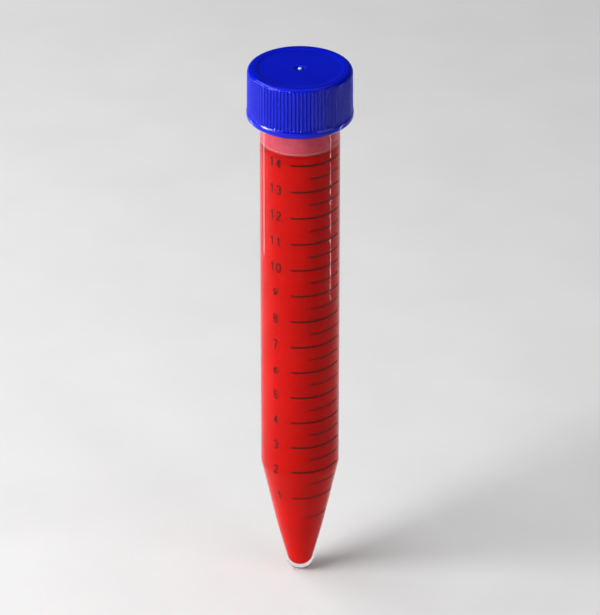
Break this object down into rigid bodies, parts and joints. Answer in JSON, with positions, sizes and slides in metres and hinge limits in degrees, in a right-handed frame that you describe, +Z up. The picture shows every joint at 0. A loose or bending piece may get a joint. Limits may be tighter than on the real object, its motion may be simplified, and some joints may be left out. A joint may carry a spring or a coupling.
{
  "type": "screw-cap conical tube",
  "caption": "Clear conical-bottom laboratory tube with a finely ribbed screw cap, a soft sealing disc, a printed volume scale and a red liquid sample.",
  "frame": {"origin": "the lowest point of the conical tip, on the tube's axis", "axes": "+Z up the tube's axis towards the cap, -Y towards a reader of the printed scale, +X to that reader's right"},
  "size_m": [0.022, 0.022, 0.12],
  "materials": {
    "clear_plastic": "gloss",
    "cap_plastic": "satin",
    "liner": "matte",
    "red_liquid": "gloss",
    "black_ink": "satin",
    "white_ink": "matte"
  },
  "bodies": {
    "tube": {"tube_body": "clear_plastic", "sample_liquid": "red_liquid", "major_graduations": "black_ink", "minor_graduations": "black_ink", "graduation_numerals": "black_ink", "writing_panel": "white_ink"},
    "seal": {"sealing_liner": "liner"},
    "cap": {"screw_cap": "cap_plastic"}
  },
  "joints": [
    {"name": "cap_rise", "type": "slide", "parent": "tube", "child": "seal", "axis": [0, 0, 1], "range_m": [0, 0.012]},
    {"name": "cap_turn", "type": "hinge", "parent": "seal", "child": "cap", "pos_m": [0, 0, 0.1145], "axis": [0, 0, 1], "range_deg": [0, 1440]}
  ],
  "couplings": [
    {"joint": "cap_rise", "follows": "cap_turn", "m_per_rad": 0.00047746}
  ]
}
